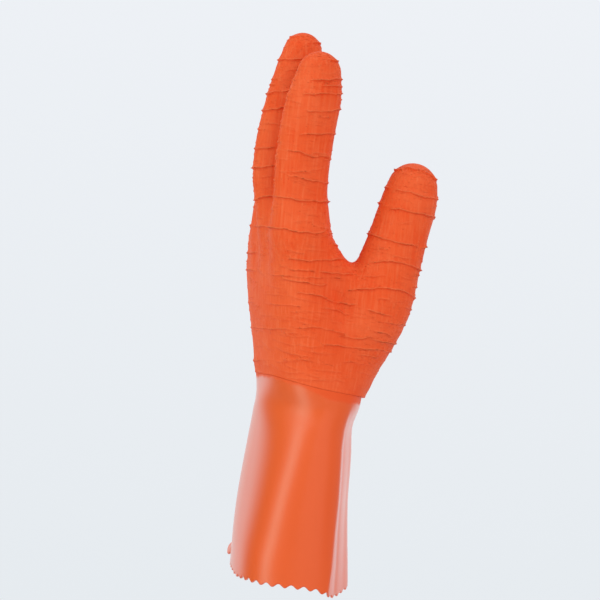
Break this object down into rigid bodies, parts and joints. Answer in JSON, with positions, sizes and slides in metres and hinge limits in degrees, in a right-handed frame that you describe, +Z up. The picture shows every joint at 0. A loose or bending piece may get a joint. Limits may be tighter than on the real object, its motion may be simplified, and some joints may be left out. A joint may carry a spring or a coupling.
{
  "type": "chemical-resistant glove",
  "caption": "Left-hand rubber work glove: crinkled hand with separate fingers and a smooth gauntlet with a scalloped edge, open at the cuff and hollow to the fingertips.",
  "frame": {"origin": "middle of the gauntlet's open mouth, where the hand goes in", "axes": "+Z runs up the arm from the mouth to the fingertips, -Y is the back of the hand, +Y is the palm, +X is the thumb side"},
  "size_m": [0.1082, 0.0927, 0.2926],
  "materials": {
    "crinkled_latex": "matt orange latex with raised crinkle ridges",
    "smooth_latex": "smooth satin orange latex"
  },
  "bodies": {
    "root": {"hand": "crinkled_latex", "gauntlet": "smooth_latex"}
  },
  "joints": []
}
